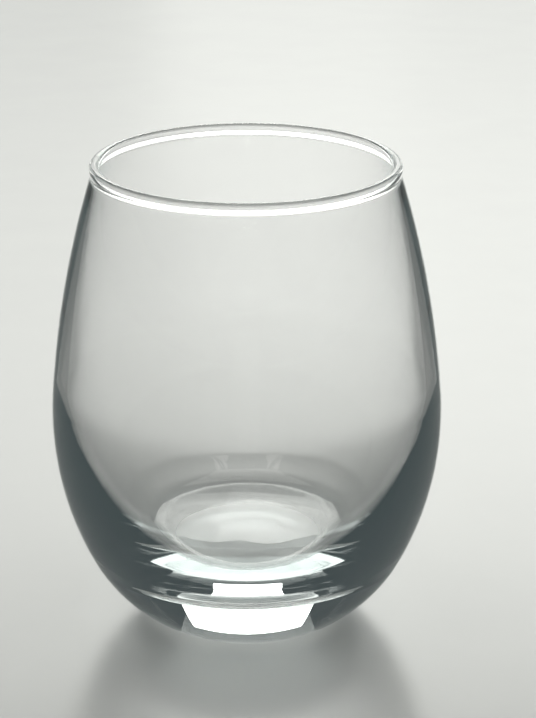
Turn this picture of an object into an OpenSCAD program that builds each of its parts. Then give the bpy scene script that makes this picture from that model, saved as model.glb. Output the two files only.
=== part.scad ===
// Rocks glass: an egg-shaped bowl on a heavy solid base, with a rounded bead for a rim.
// Millimetres, +Z up. The origin is on the table, under the middle of the foot.

/* [Overall] */
// Height from the table to the top of the rim
glass_h = 103; // [92:0.5:118]
// Greatest outside diameter, at the belly
belly_d = 84; // [79:0.5:92]
// Height of the greatest diameter
belly_z = 47; // [44:0.5:50]

/* [Outside] */
// Outside diameter of the wall just under the rim
neck_d = 64.9; // [60.9:0.5:68.9]
// Radius of the outside curve round the belly
belly_curve_r = 70; // [62:1:80]
// Slope where the belly curve hands over to the shoulder above it, in degrees
shoulder_angle = 5; // [2:0.5:8]
// Height at which the belly curve hands over to the hip below it
hip_z = 16.3; // [14:0.1:20]
// Radius of the heel, where the outside turns under to the foot
heel_r = 13.5; // [10:0.5:15]

/* [Foot] */
// Diameter of the flat foot that stands on the table
foot_d = 30; // [26:0.5:34]
// Diameter of the shallow hollow in the foot
punt_d = 22; // [12:0.5:24]
// Depth of that hollow
punt_h = 0.4; // [0.3:0.1:2]

/* [Inside] */
// Thickness of the glass from the foot's plane to the flat floor
floor_t = 15.4; // [14:0.2:16.6]
// How far in from the belly's outside the straight flank would meet the floor
flank_in = 19.5; // [18:0.5:21]
// Slope of the flank above the floor, in degrees
flank_angle = 47; // [44:0.5:50]
// Height of the flank's upper end above the floor
flank_h = 6; // [5:0.5:8]
// Radius of the corner between the floor and the flank
corner_r = 8; // [4:0.5:9]
// Radius of the hip between the flank and the curve round the belly
inside_hip_r = 14; // [8:1:20]
// Thickness of the wall at the belly
belly_wall = 3.2; // [2.8:0.1:3.8]
// Thickness of the wall under the rim
neck_wall = 1.1; // [0.8:0.1:1.3]
// How much higher the inside's greatest diameter lies than the outside's
inside_lift = 5.5; // [4:0.5:8]

/* [Rim] */
// Thickness of the bead
rim_t = 2.2; // [2:0.1:2.8]
// How far the bead stands out beyond the wall
rim_lip = 0.75; // [0.4:0.05:0.85]
// Height of the neck that joins the bead to the wall
rim_neck = 1.1; // [0.8:0.1:2]

/* [Zones] */
// Height of the base's upper edge above the floor
base_rise = 1; // [0.5:0.25:3]
// Height of the hip zone, above the base
hip_h = 14; // [8:1:20]
// Height of the belly zone, above the hip
belly_h = 31; // [20:1:40]

/* [Hidden] */
$fn = 128;
arc_steps = 14;
neck_z = glass_h - rim_t - rim_neck;
hip_from = floor_t + base_rise;
belly_from = hip_from + hip_h;
shoulder_from = belly_from + belly_h;
bead_r = rim_t / 2;
bead_z = glass_h - bead_r;
flank_r = belly_d / 2 - flank_in;
punt_r = punt_d / 2;
punt_arc_r = (punt_r * punt_r + punt_h * punt_h) / (2 * punt_h);

// Unit vector at an angle in the section plane
function ray(a) = [cos(a), sin(a)];

// Angle of a vector in the section plane
function angle_of(v) = atan2(v[1], v[0]);

// Points along an arc, without its last point
function arc(c, r, a0, a1) =
    [for (i = [0 : arc_steps - 1]) c + r * ray(a0 + (a1 - a0) * i / arc_steps)];

// Shoulder of one side of the wall, from the belly curve to the neck: its centre, radius and upper angle
function shoulder_arc(belly_c, curve_r, neck) =
    let (
        belly_end = belly_c + curve_r * ray(shoulder_angle),
        rise = neck - belly_end,
        r = -(rise * rise) / (2 * (rise * ray(shoulder_angle))),
        c = belly_end - r * ray(shoulder_angle)
    )
    [c, r, angle_of((neck - c) * sign(r))];

// Upper part of one side of the wall: the belly curve from its lower angle, then the shoulder
function upper_line(belly_c, curve_r, low_a, neck) =
    let (upper = shoulder_arc(belly_c, curve_r, neck))
    concat(
        arc(belly_c, curve_r, low_a, 0),
        arc(belly_c, curve_r, 0, shoulder_angle),
        arc(upper[0], upper[1], shoulder_angle, upper[2])
    );

// Outside line: the heel, then a hip that runs smoothly into both the heel and the belly curve
function outside_line(heel_c, belly_c, neck) =
    let (
        hip_a = -asin((belly_z - hip_z) / belly_curve_r),
        hip_end = belly_c + belly_curve_r * ray(hip_a),
        run = hip_end - heel_c,
        hip_r = (run * run - heel_r * heel_r) / (2 * (run * ray(hip_a) - heel_r)),
        hip_c = hip_end - hip_r * ray(hip_a),
        heel_a = angle_of((heel_c - hip_c) * sign(hip_r - heel_r))
    )
    concat(
        arc(heel_c, heel_r, -90, heel_a),
        arc(hip_c, hip_r, heel_a, hip_a),
        upper_line(belly_c, belly_curve_r, hip_a, neck)
    );

// Inside line: a corner leads from the floor into a straight flank, and a hip from there to the belly curve
function inside_line(hip_c, belly_c, neck) =
    let (
        flank_a = flank_angle - 90,
        hip_a = angle_of(hip_c - belly_c),
        corner_c = [flank_r - corner_r * tan(flank_angle / 2), floor_t + corner_r]
    )
    concat(
        [[0, floor_t]],
        arc(corner_c, corner_r, -90, flank_a),
        [corner_c + corner_r * ray(flank_a)],
        arc(hip_c, inside_hip_r, flank_a, hip_a),
        upper_line(belly_c, inside_curve_r, hip_a, neck)
    );

// Hollow curve that leads from the wall's upper end into the bead, smooth at both ends:
// its centre, radius and end angles. Side is 1 on the outside and -1 on the inside.
function neck_arc(neck, wall_a, side) =
    let (
        away = side * ray(wall_a),
        gap = neck - bead_c,
        r = (gap * gap - bead_r * bead_r) / (2 * (bead_r - away * gap)),
        c = neck + r * away
    )
    [c, r, wall_a + 90 * (1 + side), angle_of(bead_c - c)];

function reversed(list) = [for (i = [len(list) - 1 : -1 : 0]) list[i]];

outside_c = [belly_d / 2 - belly_curve_r, belly_z];
inside_widest = [belly_d / 2 - belly_wall, belly_z + inside_lift];
flank_end = [flank_r + flank_h / tan(flank_angle), floor_t + flank_h];
inside_hip_c = flank_end + inside_hip_r * ray(flank_angle + 90);
hip_in = inside_hip_c - inside_widest;
inside_curve_r = (inside_hip_r * inside_hip_r - hip_in * hip_in) / (2 * (hip_in[0] + inside_hip_r));
inside_c = inside_widest - [inside_curve_r, 0];
outside_neck = [neck_d / 2, neck_z];
inside_neck = outside_neck - [neck_wall, 0];
outside_a = shoulder_arc(outside_c, belly_curve_r, outside_neck)[2];
inside_a = shoulder_arc(inside_c, inside_curve_r, inside_neck)[2];
bead_c = [neck_d / 2 - (bead_z - neck_z) * tan(outside_a) + rim_lip - bead_r, bead_z];
outer = neck_arc(outside_neck, outside_a, 1);
inner = neck_arc(inside_neck, inside_a, -1);

outside = concat(
    outside_line([foot_d / 2, heel_r], outside_c, outside_neck),
    arc(outer[0], outer[1], outer[2], outer[3])
);
inside = concat(
    inside_line(inside_hip_c, inside_c, inside_neck),
    arc(inner[0], inner[1], inner[2], inner[3])
);
bead = concat(
    arc(bead_c, bead_r, outer[3] - 180, inner[3] + 180),
    [bead_c - bead_r * ray(inner[3])]
);
punt = arc([0, punt_h - punt_arc_r], punt_arc_r, 90, 90 - asin(punt_r / punt_arc_r));

// Half section of the whole glass, from the axis outwards
module section() {
    polygon(concat(punt, [[punt_r, 0]], outside, bead, reversed(inside)));
}

// The part of the glass between two heights, turned about the axis
module zone(from_z, to_z) {
    rotate_extrude() {
        intersection() {
            section();
            translate([0, from_z]) square([belly_d, to_z - from_z]);
        }
    }
}

// Heavy bottom: the foot, the heel and the floor of the bowl
module base() {
    color([0.62, 0.70, 0.71, 0.6]) zone(0, hip_from);
}

// Thick lower wall that rises from the floor
module hip() {
    color([0.72, 0.79, 0.79, 0.5]) zone(hip_from, belly_from);
}

// Widest part of the wall
module belly() {
    color([0.82, 0.87, 0.86, 0.4]) zone(belly_from, shoulder_from);
}

// Thin upper wall that draws in towards the mouth
module shoulder() {
    color([0.88, 0.91, 0.90, 0.4]) zone(shoulder_from, neck_z);
}

// Fire-polished bead round the mouth
module rim() {
    color([0.95, 0.97, 0.96, 0.6]) zone(neck_z, glass_h);
}

base();
hip();
belly();
shoulder();
rim();
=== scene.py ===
import bpy
import math
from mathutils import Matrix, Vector


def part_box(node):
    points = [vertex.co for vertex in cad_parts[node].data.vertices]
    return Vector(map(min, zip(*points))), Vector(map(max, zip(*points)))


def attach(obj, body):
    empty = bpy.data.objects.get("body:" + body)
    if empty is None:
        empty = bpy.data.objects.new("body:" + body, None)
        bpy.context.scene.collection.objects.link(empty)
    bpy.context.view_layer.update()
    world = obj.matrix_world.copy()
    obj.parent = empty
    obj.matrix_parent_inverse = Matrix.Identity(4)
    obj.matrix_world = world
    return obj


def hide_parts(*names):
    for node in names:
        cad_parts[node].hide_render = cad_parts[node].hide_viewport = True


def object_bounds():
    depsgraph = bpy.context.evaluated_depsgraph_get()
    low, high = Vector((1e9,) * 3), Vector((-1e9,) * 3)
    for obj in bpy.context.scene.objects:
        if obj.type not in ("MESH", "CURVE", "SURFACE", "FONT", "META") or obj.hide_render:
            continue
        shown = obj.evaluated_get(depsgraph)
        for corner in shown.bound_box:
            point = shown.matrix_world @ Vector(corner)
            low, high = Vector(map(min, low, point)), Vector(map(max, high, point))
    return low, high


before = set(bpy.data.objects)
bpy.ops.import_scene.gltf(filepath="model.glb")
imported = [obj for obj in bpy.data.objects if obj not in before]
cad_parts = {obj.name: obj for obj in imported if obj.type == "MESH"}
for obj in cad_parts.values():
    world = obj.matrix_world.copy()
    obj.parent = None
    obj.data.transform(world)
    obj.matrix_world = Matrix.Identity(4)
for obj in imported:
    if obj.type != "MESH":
        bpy.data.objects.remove(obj)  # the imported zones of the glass, at rest
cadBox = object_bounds()
mm = 0.001
print("frame:", ", ".join(sorted(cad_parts)))


# camera, at the photograph's viewing angle
camera = {
    "imageHeight": 718,  # pixels, the long side of the frame
    "focalPixels": 2000,  # focal length in the same pixels
    "sensor": 36,  # mm, the long side's
    "distance": 401.4 * mm,  # from the axis of the glass
    "height": 211.7 * mm,  # above the floor
    "pitch": 20.83,  # degrees below the horizon
    "yaw": 0.65,  # degrees to the right
}


def addCamera():
    bpy.ops.object.camera_add(
        location=(0, -camera["distance"], camera["height"]),
        rotation=(math.radians(90 - camera["pitch"]), 0, math.radians(-camera["yaw"])),
    )
    view = bpy.context.object
    view.name = "view"
    view.data.sensor_width = camera["sensor"]
    view.data.lens = camera["focalPixels"] * camera["sensor"] / camera["imageHeight"]
    bpy.context.scene.camera = view


# a socket of a node tree, which makes further nodes in that tree
class Wire:
    def __init__(self, tree, socket=None):
        self.tree = tree
        self.socket = socket

    def make(self, kind, settings=None, inputs=None, output=0):
        node = self.tree.nodes.new(kind)
        for name, value in (settings or {}).items():
            setattr(node, name, value)
        for name, value in (inputs or {}).items():
            if isinstance(value, Wire):
                self.tree.links.new(value.socket, node.inputs[name])
            else:
                node.inputs[name].default_value = value
        return Wire(self.tree, node.outputs[output])


mixSockets = {"first": 6, "second": 7, "result": 2}  # where a Mix node keeps its colours


def newMaterial(name):
    material = bpy.data.materials.new(name)
    material.use_nodes = True
    tree = material.node_tree
    return material, tree, tree.nodes["Principled BSDF"]


def mixColours(wire, factor, first, second):
    colours = {
        "Factor": factor,
        mixSockets["first"]: (*first, 1),
        mixSockets["second"]: (*second, 1),
    }
    return wire.make("ShaderNodeMix", {"data_type": "RGBA"}, colours, mixSockets["result"])


# floor: a pale, half-gloss sheet that carries the sheen of the window
floor = {
    "radius": 6.0,
    "edges": 128,  # sides of the round sheet
    "pale": (0.50, 0.50, 0.49),
    "shade": (0.46, 0.46, 0.455),
    "gloss": 0.26,  # roughness of the sheet
    "specular": 1.0,
    "mottle": 30,  # patches per metre
    "mottleDetail": 4.0,
    "gap": 0.05 * mm,  # air under the foot
}


def floorMaterial():
    material, tree, shader = newMaterial("paleSheet")
    wire = Wire(tree)
    place = wire.make("ShaderNodeTexCoord", output="Object")
    patches = {"Vector": place, "Scale": floor["mottle"], "Detail": floor["mottleDetail"]}
    mottle = wire.make("ShaderNodeTexNoise", None, patches)
    colour = mixColours(wire, mottle, floor["pale"], floor["shade"])
    tree.links.new(colour.socket, shader.inputs["Base Color"])
    shader.inputs["Roughness"].default_value = floor["gloss"]
    shader.inputs["Specular IOR Level"].default_value = floor["specular"]
    return material


def addFloor():
    bpy.ops.mesh.primitive_circle_add(
        vertices=floor["edges"],
        radius=floor["radius"],
        fill_type="NGON",
        location=(0, 0, -floor["gap"]),
    )
    sheet = bpy.context.object
    sheet.name = "floor"
    sheet.data.materials.append(floorMaterial())


# studio light: a wide window behind the glass, brighter towards its top,
# a soft panel overhead and a dim room
studio = {
    "windowDistance": 5.0,
    "windowTilt": -90,  # degrees, upright and facing the camera
    # lower and upper edge in degrees above the floor, radiance
    "rows": [(1.5, 13, 1.6), (13, 20, 3.2), (20, 33, 4.7)],
    # left and right edge in metres, share of the row's radiance
    "columns": [(-1.65, -0.25, 0.76), (-0.25, 0.45, 1.0), (0.45, 1.65, 0.92)],
    "overheadSize": 1.25,
    "overheadHeight": 1.2,
    "overheadLevel": 1.7,
    "colour": (0.995, 1.0, 0.955),
    "room": (0.047, 0.060, 0.063),
    "bounces": 48,  # the light runs a long way inside the thick glass
}


def addPanel(name, place, tilt, width, height, level):
    bpy.ops.object.light_add(type="AREA", location=place, rotation=(math.radians(tilt), 0, 0))
    lamp = bpy.context.object
    lamp.name = name
    lamp.data.shape = "RECTANGLE"
    lamp.data.size = width
    lamp.data.size_y = height
    lamp.data.energy = level * math.pi * width * height  # level is the radiance of the panel
    lamp.data.color = studio["colour"]


def addStudio():
    far, tilt = studio["windowDistance"], studio["windowTilt"]
    for lowEdge, highEdge, level in studio["rows"]:
        low, high = (far * math.tan(math.radians(edge)) for edge in (lowEdge, highEdge))
        for left, right, share in studio["columns"]:
            middle = ((left + right) / 2, far, (low + high) / 2)
            addPanel("pane", middle, tilt, right - left, high - low, level * share)
    size = studio["overheadSize"]
    addPanel("overhead", (0, 0, studio["overheadHeight"]), 0, size, size, studio["overheadLevel"])
    room = bpy.data.worlds.new("room")
    room.use_nodes = True
    room.node_tree.nodes["Background"].inputs["Color"].default_value = (*studio["room"], 1)
    bpy.context.scene.world = room


# the glass: one half section of arcs, turned about the axis
glass = {
    "bellyHeight": 47 * mm,  # where the glass is widest
    "neckRadius": 32.45 * mm,  # outside, under the bead
    "bellyCurve": 70 * mm,
    "shoulderSlope": 5,  # degrees, where the belly curve hands over upwards
    "hipHeight": 16.3 * mm,  # where it hands over downwards
    "heelRadius": 13.5 * mm,
    "footRadius": 15 * mm,
    "puntRadius": 11 * mm,
    "puntDepth": 0.4 * mm,
    "floorThickness": 15.4 * mm,
    "flankRadius": 22.5 * mm,  # where the straight flank would meet the floor
    "flankSlope": 47,  # degrees above the floor
    "flankRise": 6 * mm,  # its upper end, above the floor
    "cornerRadius": 8 * mm,  # between the floor and the flank
    "insideHip": 14 * mm,  # between the flank and the belly curve
    "bellyWall": 3.2 * mm,
    "neckWall": 1.1 * mm,
    "insideLift": 5.5 * mm,  # the inside is widest this much higher up
    "beadRadius": 1.1 * mm,
    "startSize": 2 * mm,  # of the plane that is merged into the first vertex
    "joinGap": 0.01 * mm,  # a smaller gap between two arcs is none
    "mergeGap": 0.001 * mm,  # vertices closer than this become one
    "turns": 256,
    "arcSteps": 22,
    "floorSteps": 24,  # rings of the flat floor
    "index": 1.52,
    "tint": (0.30, 0.90, 0.88),  # what the glass lets through
    "density": 1.0,  # per metre
    "waves": 0.4 * mm,  # height of the gentle waves in the floor
    "waveSize": 12 * mm,
    "ground": 0.3,  # roughness of the ground foot
    "groundTop": 0.9 * mm,  # how far up the ground foot reaches
    "groundFade": 0.5,  # share of that height where it starts to turn clear
}


def ray(angle):
    return Vector((math.cos(angle), math.sin(angle)))


def angleOf(arrow):
    return math.atan2(arrow.y, arrow.x)


# an arc is its centre, its radius, its first angle and its last angle
def upperArcs(bellyCentre, curve, low, neck):  # the belly curve, then the shoulder up to the neck
    shoulder = math.radians(glass["shoulderSlope"])
    bellyEnd = bellyCentre + curve * ray(shoulder)
    rise = neck - bellyEnd
    shoulderRadius = -rise.dot(rise) / (2 * rise.dot(ray(shoulder)))
    shoulderCentre = bellyEnd - shoulderRadius * ray(shoulder)
    return [
        (bellyCentre, curve, low, 0),
        (bellyCentre, curve, 0, shoulder),
        (shoulderCentre, shoulderRadius, shoulder, angleOf(neck - shoulderCentre)),
    ]


def outsideArcs(widest, neck):  # the heel, then a hip that runs smoothly into the belly curve
    curve, heel = glass["bellyCurve"], glass["heelRadius"]
    heelCentre = Vector((glass["footRadius"], heel))
    bellyCentre = Vector((widest - curve, glass["bellyHeight"]))
    hip = -math.asin((glass["bellyHeight"] - glass["hipHeight"]) / curve)
    hipEnd = bellyCentre + curve * ray(hip)
    run = hipEnd - heelCentre
    hipRadius = (run.dot(run) - heel ** 2) / (2 * (run.dot(ray(hip)) - heel))
    hipCentre = hipEnd - hipRadius * ray(hip)
    handOver = angleOf(heelCentre - hipCentre)
    low = [(heelCentre, heel, -math.pi / 2, handOver), (hipCentre, hipRadius, handOver, hip)]
    return low + upperArcs(bellyCentre, curve, hip, neck)


def insideArcs(widest, neck):  # a corner, the straight flank, and a hip that leads to the belly
    corner, hip = glass["cornerRadius"], glass["insideHip"]
    slope, rise = math.radians(glass["flankSlope"]), glass["flankRise"]
    flankFoot = Vector((glass["flankRadius"], glass["floorThickness"]))
    cornerCentre = flankFoot + Vector((-corner * math.tan(slope / 2), corner))
    hipCentre = flankFoot + Vector((rise / math.tan(slope), rise)) + hip * ray(slope + math.pi / 2)
    bellyPoint = Vector((widest - glass["bellyWall"], glass["bellyHeight"] + glass["insideLift"]))
    hipIn = hipCentre - bellyPoint
    curve = (hip ** 2 - hipIn.dot(hipIn)) / (2 * (hipIn.x + hip))
    bellyCentre = bellyPoint - Vector((curve, 0))
    turn, hipEnd = slope - math.pi / 2, angleOf(hipCentre - bellyCentre)
    low = [(cornerCentre, corner, -math.pi / 2, turn), (hipCentre, hip, turn, hipEnd)]
    return low + upperArcs(bellyCentre, curve, hipEnd, neck)


def neckArc(neck, slope, side, centre, bead):  # a hollow curve, smooth at the wall and at the bead
    away = side * ray(slope)
    gap = neck - centre
    hollow = (gap.dot(gap) - bead ** 2) / (2 * (bead - away.dot(gap)))
    hollowCentre = neck + hollow * away
    first = slope + math.pi if side > 0 else slope
    return hollowCentre, hollow, first, angleOf(centre - hollowCentre)


# drawing in edit mode: the last vertex stays selected, so each stroke goes on from it
def drawLine(start, end):
    stroke = end - start
    bpy.ops.mesh.extrude_region_move(TRANSFORM_OT_translate={"value": (stroke.x, 0, stroke.y)})


def drawArcs(here, arcs):  # with a straight line wherever an arc starts away from the last end
    for centre, radius, first, last in arcs:
        start = centre + radius * ray(first)
        if (start - here).length > glass["joinGap"]:
            drawLine(here, start)
        pivot = (centre.x, 0, centre.y)
        bpy.ops.mesh.spin(
            steps=glass["arcSteps"], angle=last - first, center=pivot, axis=(0, 1, 0)
        )
        here = centre + radius * ray(last)


def glassMaterial():
    material, tree, shader = newMaterial("clearGlass")
    wire = Wire(tree)
    place = wire.make("ShaderNodeTexCoord", output="Object")
    height = wire.make("ShaderNodeSeparateXYZ", None, {"Vector": place}, "Z")
    top = glass["groundTop"]
    fade = {
        "Value": height,
        "From Min": glass["groundFade"] * top,
        "From Max": top,
        "To Min": glass["ground"],
        "To Max": 0.0,  # polished
    }
    ground = wire.make("ShaderNodeMapRange", None, fade)
    tree.links.new(ground.socket, shader.inputs["Roughness"])
    shader.inputs["Base Color"].default_value = (1, 1, 1, 1)
    shader.inputs["Transmission Weight"].default_value = 1.0
    shader.inputs["IOR"].default_value = glass["index"]
    tinting = {"Color": (*glass["tint"], 1), "Density": glass["density"]}
    body = wire.make("ShaderNodeVolumeAbsorption", None, tinting)
    tree.links.new(body.socket, tree.nodes["Material Output"].inputs["Volume"])
    return material


def waveFloor(piece, floorEdge):  # pressed glass is never quite flat
    group = piece.vertex_groups.new(name="floor")
    aboveFoot = glass["floorThickness"] / 2
    for vertex in piece.data.vertices:
        reach = vertex.co.xy.length / floorEdge
        if reach < 1 and vertex.co.z > aboveFoot:
            weight = 4 * reach * (1 - reach)  # 1 half way out, 0 in the middle and at the edge
            group.add([vertex.index], weight, "ADD")
    texture = bpy.data.textures.new("waves", "CLOUDS")
    texture.noise_scale = glass["waveSize"]
    texture.noise_depth = 0  # no finer ripples on the waves
    bpy.ops.object.modifier_add(type="DISPLACE")
    waves = piece.modifiers[-1]
    waves.texture = texture
    waves.texture_coords = "LOCAL"
    waves.vertex_group = group.name
    waves.direction = "Z"
    waves.strength = glass["waves"]
    bpy.ops.object.modifier_apply(modifier=waves.name)


def addGlass():
    widest = cadBox[1].x
    top = cadBox[1].z
    rimLow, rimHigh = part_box("rim")
    bead = glass["beadRadius"]
    beadCentre = Vector((rimHigh.x - bead, top - bead))
    neck = Vector((glass["neckRadius"], rimLow.z))
    insideNeck = neck - Vector((glass["neckWall"], 0))
    outside = outsideArcs(widest, neck)
    inside = insideArcs(widest, insideNeck)
    outside.append(neckArc(neck, outside[-1][3], 1, beadCentre, bead))
    inside.append(neckArc(insideNeck, inside[-1][3], -1, beadCentre, bead))
    beadArc = (beadCentre, bead, outside[-1][3] - math.pi, inside[-1][3] + math.pi)
    depth, puntRadius = glass["puntDepth"], glass["puntRadius"]
    puntCurve = (puntRadius ** 2 + depth ** 2) / (2 * depth)
    puntEnd = math.acos(puntRadius / puntCurve)
    puntArc = (Vector((0, depth - puntCurve)), puntCurve, math.pi / 2, puntEnd)
    downwards = [(centre, radius, last, first) for centre, radius, first, last in reversed(inside)]

    bpy.ops.object.select_all(action="DESELECT")
    bpy.ops.mesh.primitive_plane_add(size=glass["startSize"], enter_editmode=True)
    bpy.ops.mesh.merge(type="CENTER")
    bpy.ops.transform.translate(value=(0, 0, depth))  # one vertex, on the axis under the foot
    drawArcs(Vector((0, depth)), [puntArc] + outside + [beadArc] + downwards)
    floorEdge = inside[0][0].x  # radius of the flat floor
    nextRing = floorEdge * (1 - 1 / glass["floorSteps"])
    for _ in range(glass["floorSteps"]):
        drawLine(Vector((floorEdge, 0)), Vector((nextRing, 0)))

    bpy.ops.mesh.select_all(action="SELECT")
    bpy.ops.mesh.spin(steps=glass["turns"], angle=2 * math.pi, center=(0, 0, 0), axis=(0, 0, 1))
    bpy.ops.mesh.select_all(action="SELECT")
    bpy.ops.mesh.remove_doubles(threshold=glass["mergeGap"])
    bpy.ops.mesh.normals_make_consistent(inside=False)
    bpy.ops.object.mode_set(mode="OBJECT")
    piece = bpy.context.object
    piece.name = "tumbler"
    waveFloor(piece, floorEdge)
    bpy.ops.object.shade_smooth()
    piece.data.materials.append(glassMaterial())
    print("tumbler:", len(piece.data.vertices), "vertices")
    return piece


addCamera()
addFloor()
addStudio()
print("studio: window, overhead panel, room and floor")

tumbler = addGlass()
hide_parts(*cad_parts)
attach(tumbler, "root")

scene = bpy.context.scene
scene.view_settings.view_transform = "Standard"
scene.cycles.max_bounces = studio["bounces"]
scene.cycles.transmission_bounces = studio["bounces"]
scene.cycles.glossy_bounces = studio["bounces"]
scene.cycles.blur_glossy = 0  # the light that the glass throws on the floor stays
